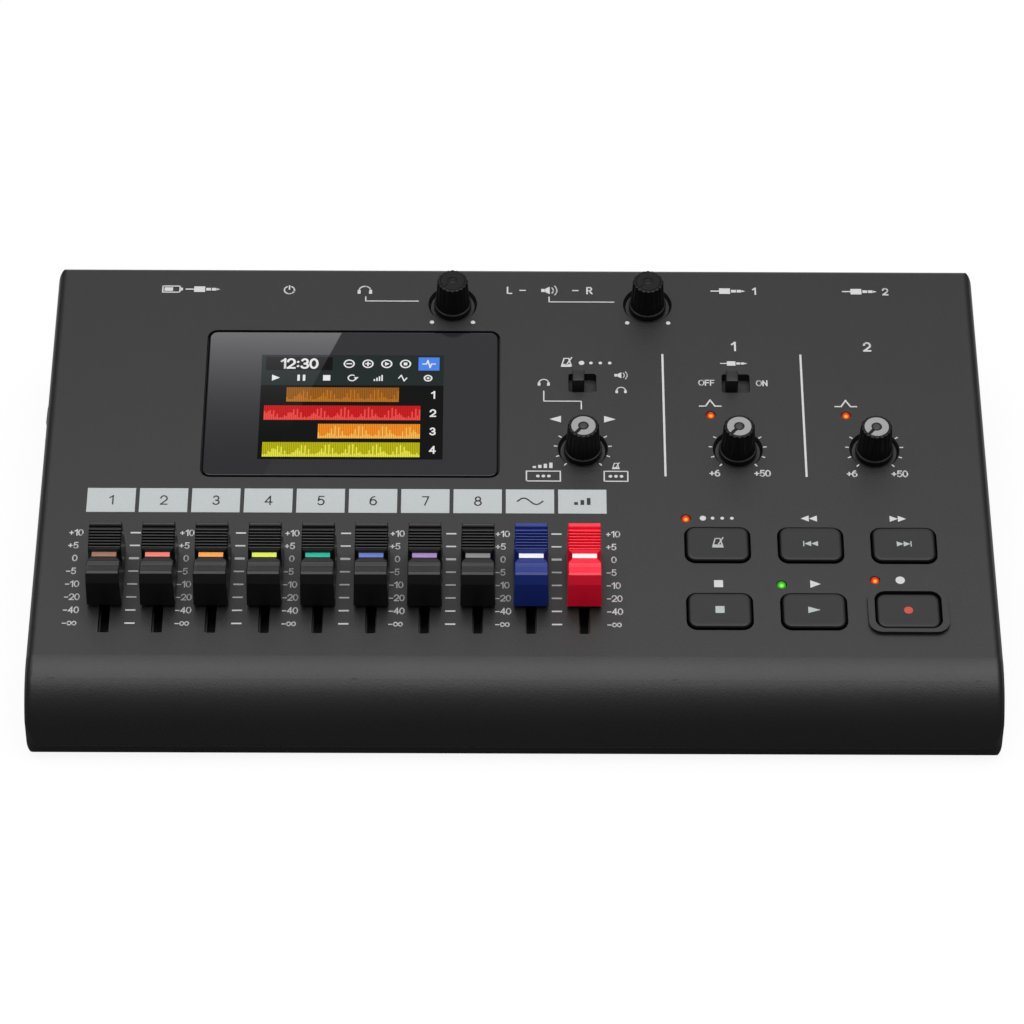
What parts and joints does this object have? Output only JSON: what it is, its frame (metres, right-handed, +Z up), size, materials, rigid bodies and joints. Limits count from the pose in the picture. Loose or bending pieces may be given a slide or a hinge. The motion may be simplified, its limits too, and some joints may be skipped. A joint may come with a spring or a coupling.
{
  "type": "digital multitrack recorder",
  "caption": "Desk-top digital multitrack recorder with a sloped panel of faders, a display window, knobs and transport keys, and jacks in the rear.",
  "frame": {"origin": "on the table, below the middle of the overall box", "axes": "+X to the user's right, +Y to the rear connectors, +Z up"},
  "size_m": [0.2573, 0.158, 0.0479],
  "materials": {
    "case_dark_grey": "fine matt texture",
    "case_black": "fine matt texture",
    "window_black": "polished",
    "display_dark": "satin",
    "board_green": "solder mask",
    "fader_steel": "plated",
    "pot_metal": "plated",
    "switch_black": "moulded",
    "lamp_lens": "clear tinted",
    "jack_black": "moulded",
    "connector_steel": "plated",
    "foot_rubber": "matt",
    "screw_steel": "black plated",
    "cell_jacket": "shrink film",
    "cap_black": "satin",
    "cap_blue": "satin",
    "cap_red": "satin",
    "lever_steel": "plated",
    "knob_black": "satin",
    "key_grey": "silicone rubber",
    "switch_lever_grey": "moulded"
  },
  "bodies": {
    "case": {"top_case": "case_dark_grey", "bottom_case": "case_black", "rear_panel": "case_black", "display_window": "window_black", "display_module": "display_dark", "main_board": "board_green", "jack_board": "board_green", "fader_bodies": "fader_steel", "pot_bodies": "pot_metal", "switch_bodies": "switch_black", "status_lamps": "lamp_lens", "combo_jacks": "jack_black", "phone_jacks": "jack_black", "usb_socket": "connector_steel", "card_socket": "connector_steel", "rubber_feet": "foot_rubber", "screws": "screw_steel", "battery_cells": "cell_jacket", "battery_contacts": "connector_steel"},
    "fader_1": {"fader_cap_1": "cap_black", "fader_lever_1": "lever_steel"},
    "fader_2": {"fader_cap_2": "cap_black", "fader_lever_2": "lever_steel"},
    "fader_3": {"fader_cap_3": "cap_black", "fader_lever_3": "lever_steel"},
    "fader_4": {"fader_cap_4": "cap_black", "fader_lever_4": "lever_steel"},
    "fader_5": {"fader_cap_5": "cap_black", "fader_lever_5": "lever_steel"},
    "fader_6": {"fader_cap_6": "cap_black", "fader_lever_6": "lever_steel"},
    "fader_7": {"fader_cap_7": "cap_black", "fader_lever_7": "lever_steel"},
    "fader_8": {"fader_cap_8": "cap_black", "fader_lever_8": "lever_steel"},
    "fader_9": {"fader_cap_9": "cap_blue", "fader_lever_9": "lever_steel"},
    "fader_10": {"fader_cap_10": "cap_red", "fader_lever_10": "lever_steel"},
    "phones": {"phones_knob": "knob_black", "phones_shaft": "lever_steel"},
    "output": {"output_knob": "knob_black", "output_shaft": "lever_steel"},
    "balance": {"balance_knob": "knob_black", "balance_shaft": "lever_steel"},
    "gain_1": {"gain_1_knob": "knob_black", "gain_1_shaft": "lever_steel"},
    "gain_2": {"gain_2_knob": "knob_black", "gain_2_shaft": "lever_steel"},
    "click_key": {"click_key": "key_grey"},
    "rewind_key": {"rewind_key": "key_grey"},
    "forward_key": {"forward_key": "key_grey"},
    "stop_key": {"stop_key": "key_grey"},
    "play_key": {"play_key": "key_grey"},
    "record_key": {"record_key": "key_grey"},
    "click_switch_lever": {"click_switch_lever": "switch_lever_grey"},
    "input_switch_lever": {"input_switch_lever": "switch_lever_grey"},
    "power_switch_lever": {"power_switch_lever": "jack_black"},
    "card_door": {"card_door": "case_black"},
    "battery_door": {"battery_door": "case_black"}
  },
  "joints": [
    {"name": "fader_1_slide", "type": "slide", "parent": "case", "child": "fader_1", "axis": [0, 0.9923, 0.1236], "range_m": [-0.0139, 0.0161]},
    {"name": "fader_2_slide", "type": "slide", "parent": "case", "child": "fader_2", "axis": [0, 0.9923, 0.1236], "range_m": [-0.0139, 0.0161]},
    {"name": "fader_3_slide", "type": "slide", "parent": "case", "child": "fader_3", "axis": [0, 0.9923, 0.1236], "range_m": [-0.0139, 0.0161]},
    {"name": "fader_4_slide", "type": "slide", "parent": "case", "child": "fader_4", "axis": [0, 0.9923, 0.1236], "range_m": [-0.0139, 0.0161]},
    {"name": "fader_5_slide", "type": "slide", "parent": "case", "child": "fader_5", "axis": [0, 0.9923, 0.1236], "range_m": [-0.0139, 0.0161]},
    {"name": "fader_6_slide", "type": "slide", "parent": "case", "child": "fader_6", "axis": [0, 0.9923, 0.1236], "range_m": [-0.0139, 0.0161]},
    {"name": "fader_7_slide", "type": "slide", "parent": "case", "child": "fader_7", "axis": [0, 0.9923, 0.1236], "range_m": [-0.0139, 0.0161]},
    {"name": "fader_8_slide", "type": "slide", "parent": "case", "child": "fader_8", "axis": [0, 0.9923, 0.1236], "range_m": [-0.0139, 0.0161]},
    {"name": "fader_9_slide", "type": "slide", "parent": "case", "child": "fader_9", "axis": [0, 0.9923, 0.1236], "range_m": [-0.0139, 0.0161]},
    {"name": "fader_10_slide", "type": "slide", "parent": "case", "child": "fader_10", "axis": [0, 0.9923, 0.1236], "range_m": [-0.0139, 0.0161]},
    {"name": "phones_turn", "type": "hinge", "parent": "case", "child": "phones", "pos_m": [-0.0175, 0.06087, 0.0376], "axis": [0, -0.1236, 0.9923], "range_deg": [-280, 0]},
    {"name": "output_turn", "type": "hinge", "parent": "case", "child": "output", "pos_m": [0.037, 0.06087, 0.0376], "axis": [0, -0.1236, 0.9923], "range_deg": [-280, 0]},
    {"name": "balance_turn", "type": "hinge", "parent": "case", "child": "balance", "pos_m": [0.0185, 0.00851, 0.03108], "axis": [0, -0.1236, 0.9923], "range_deg": [-280, 0]},
    {"name": "gain_1_turn", "type": "hinge", "parent": "case", "child": "gain_1", "pos_m": [0.06075, 0.00851, 0.03108], "axis": [0, -0.1236, 0.9923], "range_deg": [-280, 0]},
    {"name": "gain_2_turn", "type": "hinge", "parent": "case", "child": "gain_2", "pos_m": [0.098, 0.00851, 0.03108], "axis": [0, -0.1236, 0.9923], "range_deg": [-280, 0]},
    {"name": "click_press", "type": "slide", "parent": "case", "child": "click_key", "axis": [0, 0.1236, -0.9923], "range_m": [0, 0.0008], "stiffness_N_per_m": 800, "springref_m": -0.0003},
    {"name": "rewind_press", "type": "slide", "parent": "case", "child": "rewind_key", "axis": [0, 0.1236, -0.9923], "range_m": [0, 0.0008], "stiffness_N_per_m": 800, "springref_m": -0.0003},
    {"name": "forward_press", "type": "slide", "parent": "case", "child": "forward_key", "axis": [0, 0.1236, -0.9923], "range_m": [0, 0.0008], "stiffness_N_per_m": 800, "springref_m": -0.0003},
    {"name": "stop_press", "type": "slide", "parent": "case", "child": "stop_key", "axis": [0, 0.1236, -0.9923], "range_m": [0, 0.0008], "stiffness_N_per_m": 800, "springref_m": -0.0003},
    {"name": "play_press", "type": "slide", "parent": "case", "child": "play_key", "axis": [0, 0.1236, -0.9923], "range_m": [0, 0.0008], "stiffness_N_per_m": 800, "springref_m": -0.0003},
    {"name": "record_press", "type": "slide", "parent": "case", "child": "record_key", "axis": [0, 0.1236, -0.9923], "range_m": [0, 0.0008], "stiffness_N_per_m": 800, "springref_m": -0.0003},
    {"name": "click_switch_slide", "type": "slide", "parent": "case", "child": "click_switch_lever", "axis": [1, 0, 0], "range_m": [0, 0.00224]},
    {"name": "input_switch_slide", "type": "slide", "parent": "case", "child": "input_switch_lever", "axis": [1, 0, 0], "range_m": [0, 0.00224]},
    {"name": "power_switch_slide", "type": "slide", "parent": "case", "child": "power_switch_lever", "axis": [1, 0, 0], "range_m": [0, 0.003]},
    {"name": "card_door_hinge", "type": "hinge", "parent": "case", "child": "card_door", "pos_m": [-0.1274, 0.0233, 0.0208], "axis": [0, -1, 0], "range_deg": [0, 90]},
    {"name": "battery_door_lift", "type": "slide", "parent": "case", "child": "battery_door", "axis": [0, 0, -1], "range_m": [0, 0.03]}
  ]
}
